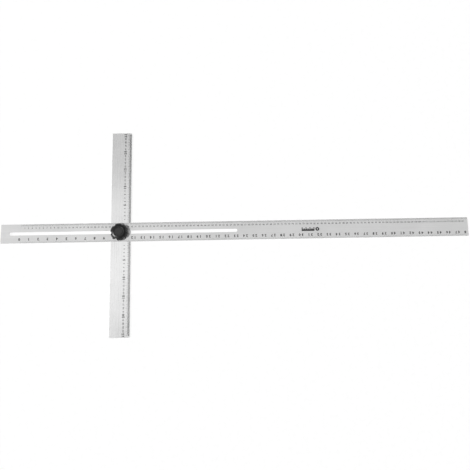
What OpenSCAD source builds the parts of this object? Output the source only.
// Adjustable T square: a slotted blade lies across a head bar, and one star
// knob on a keyed bolt clamps the two together anywhere along the slot.
// Frame: +X along the blade, towards its long end, +Y along the head, +Z up,
// on the knob's side. The origin is under the middle of the blade's length,
// on its centre line, at the head's underside.

/* [Blade] */
// Length of the blade
blade_l = 1278; // [900:2:1300]
// Width of the blade
blade_w = 52; // [44:1:60]
// Thickness of the blade
blade_t = 2; // [1.5:0.5:3]
// Distance from the blade's short end to the scales' zero
zero_inset = 54; // [40:1:80]
// Distance from the scales' zero back to the slot's first end
slot_before_zero = 31.5; // [15:0.5:35]
// End-to-end length of the slot
slot_l = 619; // [560:1:640]
// Width of the slot
slot_w = 8.9; // [7.5:0.1:10]

/* [Head] */
// Length of the head bar
head_l = 566; // [400:2:600]
// Width of the head bar
head_w = 54; // [44:1:60]
// Thickness of the head bar
head_t = 5; // [4.8:0.1:6]
// Scale reading at the middle of the head
head_reading = 269.5; // [100:0.5:500]
// Radius of the two corners on the head's ruled edge
head_corner_r = 3; // [1:0.5:6]
// Distance from the head's middle line to the bolt, away from the ruled edge
bolt_offset = 3; // [0:0.5:6]
// Bevel that breaks the long edges of blade and head
edge_break = 0.3; // [0.1:0.1:0.5]

/* [Clamp bolt] */
// Diameter of the bolt's shank, M6
bolt_d = 6; // [6:0.5:6.5]
// Diameter of the bolt's flat head
bolt_head_d = 13; // [12:0.5:16]
// Thickness of the bolt's flat head
bolt_head_t = 2.6; // [2:0.1:2.8]
// Depth of the pocket that hides the bolt's head
pocket_depth = 3; // [2.8:0.1:3.2]
// Shank that stands above the head bar
bolt_stand = 14; // [12:0.5:14]

/* [Slot guide] */
// Diameter of the slip flange between head and blade
guide_flange_d = 30; // [24:1:40]
// Thickness of the slip flange
guide_flange_t = 0.6; // [0.4:0.1:1]
// Length of the boss that fills the slot
guide_boss_l = 20; // [14:1:26]

/* [Washer] */
// Diameter of the clamp washer
washer_d = 26; // [22:1:30]
// Thickness of the clamp washer
washer_t = 1.2; // [1:0.1:1.6]

/* [Knob] */
// Diameter over the knob's lobes
knob_d = 47; // [42:1:50]
// Number of lobes
lobes = 6; // [5:1:7]
// Direction of the first lobe from +X
lobe_turn = 37; // [0:1:59]
// Radius of the scallops between the lobes
scallop_r = 5; // [4:0.5:6]
// Depth of the scallops
scallop_depth = 3; // [2:0.5:4]
// Height of the knob's upright rim
knob_rim_h = 4.4; // [4.2:0.2:6]
// Rise of the crowned top above the rim
knob_dome = 8; // [7.8:0.2:9]
// Diameter of the cap disc in the knob's top
cap_d = 21; // [18:0.5:22]
// Thickness of the cap disc
cap_t = 1.6; // [1.2:0.2:2]
// Outer diameter of the threaded insert
insert_d = 10; // [9.5:0.5:11]

/* [Hidden] */
$fn = 64;

slip = 0.05;                                 // gap between faces that slide
side_slip = 0.1;                             // gap at each side of the guide's boss
seat_slip = 0.1;                             // gap round a piece in its pocket

zero_x = -blade_l / 2 + zero_inset;
head_x = zero_x + head_reading;              // head's middle line
bolt_x = head_x - bolt_offset;
slot_x = zero_x - slot_before_zero;          // slot's first end

flange_z = head_t + slip;
blade_z = flange_z + guide_flange_t + slip;
blade_top = blade_z + blade_t;
washer_z = blade_top + slip;
insert_z = washer_z + washer_t + slip;

boss_below_top = 0.2;                        // the washer has to bear on the blade
washer_chamfer = 0.3;
bolt_chamfer = 0.8;
neck_w = bolt_d + 0.4;                       // square neck that keys into the head

insert_flange_t = 1.2;
insert_flange_d = 16;
insert_l = 8;                                // length inside the knob's body
insert_bore_l = insert_l + 1;
knob_z = insert_z + insert_flange_t;         // underside of the knob's body
knob_top = knob_z + knob_rim_h + knob_dome;
knob_foot_d = knob_d - 10;                   // the underside tucks in to this
knob_tuck = 2.4;                             // height of the tucked-in foot
scallop_ring = knob_d / 2 - scallop_depth + scallop_r;   // the scallops' centres lie on it
cap_groove = 2;                              // open ring between cap and body
well_r = cap_d / 2 + cap_groove;
crest_r = well_r + 1.8;                      // outside this the top slopes down
shoulder_r = knob_d / 2 - 4.8;               // the sloping top ends and the side begins
top_slope = 17;                              // degrees, from crest to shoulder
side_arc = 50;                               // degrees of the side's ellipse
cap_sunk = 0.3;                              // the cap's face is below the knob's top
cap_seat_z = knob_top - cap_t - cap_sunk;
cap_plug_d = insert_d - 2;                   // plug under the cap, pushed into the body
cap_plug_l = 1.4;
cap_chamfer = 0.4;

// A bar along +X with its four long edges broken
module broken_bar(length, width, thickness) {
    y = width / 2;
    e = edge_break;
    rotate([90, 0, 90])
        linear_extrude(length)
            polygon([[-y + e, 0], [y - e, 0], [y, e], [y, thickness - e],
                     [y - e, thickness], [-y + e, thickness], [-y, thickness - e], [-y, e]]);
}

// A flat slot or key with round ends, its middle at the origin
module stadium(length, width) {
    square([length - width, width], center = true);
    for (side = [-1, 1])
        translate([side * (length - width) / 2, 0]) circle(d = width);
}

// The star outline: a disc with one scallop between each two lobes
module star(d) {
    difference() {
        circle(d = d, $fn = 120);
        for (i = [0 : lobes - 1])
            rotate(lobe_turn + (i + 0.5) * 360 / lobes)
                translate([scallop_ring, 0]) circle(r = scallop_r);
    }
}

module blade() {
    color("silver")
        difference() {
            translate([-blade_l / 2, 0, blade_z]) broken_bar(blade_l, blade_w, blade_t);
            translate([slot_x + slot_l / 2, 0, blade_z - 1])
                linear_extrude(blade_t + 2) stadium(slot_l, slot_w);
        }
}

// The head's bar runs along Y. Its corners are rounded only on the ruled edge.
module head_blank() {
    intersection() {
        translate([head_x, -head_l / 2, 0]) rotate(90) broken_bar(head_l, head_w, head_t);
        translate([head_x, 0, -1])
            linear_extrude(head_t + 2)
                union() {
                    translate([-head_w / 2, -head_l / 2])
                        square([head_w - head_corner_r, head_l]);
                    translate([-head_w / 2, -head_l / 2 + head_corner_r])
                        square([head_w, head_l - 2 * head_corner_r]);
                    for (end = [-1, 1])
                        translate([head_w / 2 - head_corner_r, end * (head_l / 2 - head_corner_r)])
                            circle(r = head_corner_r);
                }
    }
}

module head() {
    color("gainsboro")
        difference() {
            head_blank();
            translate([bolt_x, 0, -1])
                cylinder(d = bolt_head_d + 2 * seat_slip, h = pocket_depth + 1);
            translate([bolt_x, 0, head_t / 2])
                cube([neck_w + 2 * seat_slip, neck_w + 2 * seat_slip, head_t + 2], center = true);
        }
}

module clamp_bolt() {
    head_z = pocket_depth - bolt_head_t;
    top_z = head_t + bolt_stand;
    color("dimgray")
        translate([bolt_x, 0, 0]) {
            translate([0, 0, head_z]) cylinder(d = bolt_head_d, h = bolt_head_t);
            translate([-neck_w / 2, -neck_w / 2, pocket_depth])
                cube([neck_w, neck_w, head_t - pocket_depth]);
            rotate_extrude()
                polygon([[0, head_z], [bolt_d / 2, head_z], [bolt_d / 2, top_z - bolt_chamfer],
                         [bolt_d / 2 - bolt_chamfer, top_z], [0, top_z]]);
        }
}

module slot_guide() {
    boss_h = blade_top - boss_below_top - flange_z;
    color("white")
        translate([bolt_x, 0, flange_z])
            difference() {
                union() {
                    cylinder(d = guide_flange_d, h = guide_flange_t);
                    linear_extrude(boss_h) stadium(guide_boss_l, slot_w - 2 * side_slip);
                }
                translate([0, 0, -1]) cylinder(d = bolt_d + 2 * slip, h = boss_h + 2);
            }
}

module clamp_washer() {
    r = washer_d / 2;
    bore = bolt_d / 2 + seat_slip;
    color("lightgray")
        translate([bolt_x, 0, washer_z])
            rotate_extrude()
                polygon([[bore, 0], [r, 0], [r, washer_t - washer_chamfer],
                         [r - washer_chamfer, washer_t], [bore, washer_t]]);
}

// Side view of the knob's body, turned round its axis: a tucked-in foot, an
// upright rim, a side that curves in along an ellipse, and a gently sloping top
module knob_turning() {
    rim_r = knob_d / 2;
    top = knob_rim_h + knob_dome;
    shoulder_z = top - (shoulder_r - crest_r) * tan(top_slope);
    reach = (rim_r - shoulder_r) / (1 - cos(side_arc));
    rise = (shoulder_z - knob_rim_h) / sin(side_arc);
    side = [for (a = [0 : 10 : side_arc])
        [rim_r - reach * (1 - cos(a)), knob_rim_h + rise * sin(a)]];
    rotate_extrude($fn = 120)
        polygon(concat([[0, 0], [knob_foot_d / 2, 0], [rim_r, knob_tuck]], side,
                       [[crest_r, top], [0, top]]));
}

module knob_body() {
    color("black")
        translate([bolt_x, 0, knob_z])
            difference() {
                intersection() {
                    knob_turning();
                    linear_extrude(knob_rim_h + knob_dome) star(knob_d);
                }
                translate([0, 0, -1]) cylinder(d = insert_d, h = insert_bore_l + 1);
                translate([0, 0, cap_seat_z - knob_z])
                    cylinder(r = well_r, h = cap_t + 1);
                translate([0, 0, insert_l])
                    cylinder(d = cap_plug_d, h = knob_rim_h + knob_dome - insert_l);
            }
}

module knob_insert() {
    color("goldenrod")
        translate([bolt_x, 0, insert_z])
            difference() {
                union() {
                    cylinder(d = insert_flange_d, h = insert_flange_t);
                    cylinder(d = insert_d, h = insert_flange_t + insert_l);
                }
                translate([0, 0, -1])
                    cylinder(d = bolt_d + 2 * slip, h = insert_flange_t + insert_l + 2);
            }
}

module knob_cap() {
    r = cap_d / 2;
    color("#2b2b2b")
        translate([bolt_x, 0, cap_seat_z])
            rotate_extrude()
                polygon([[0, -cap_plug_l], [cap_plug_d / 2, -cap_plug_l], [cap_plug_d / 2, 0], [r, 0],
                         [r, cap_t - cap_chamfer], [r - cap_chamfer, cap_t], [0, cap_t]]);
}

blade();
head();
clamp_bolt();
slot_guide();
clamp_washer();
knob_body();
knob_insert();
knob_cap();
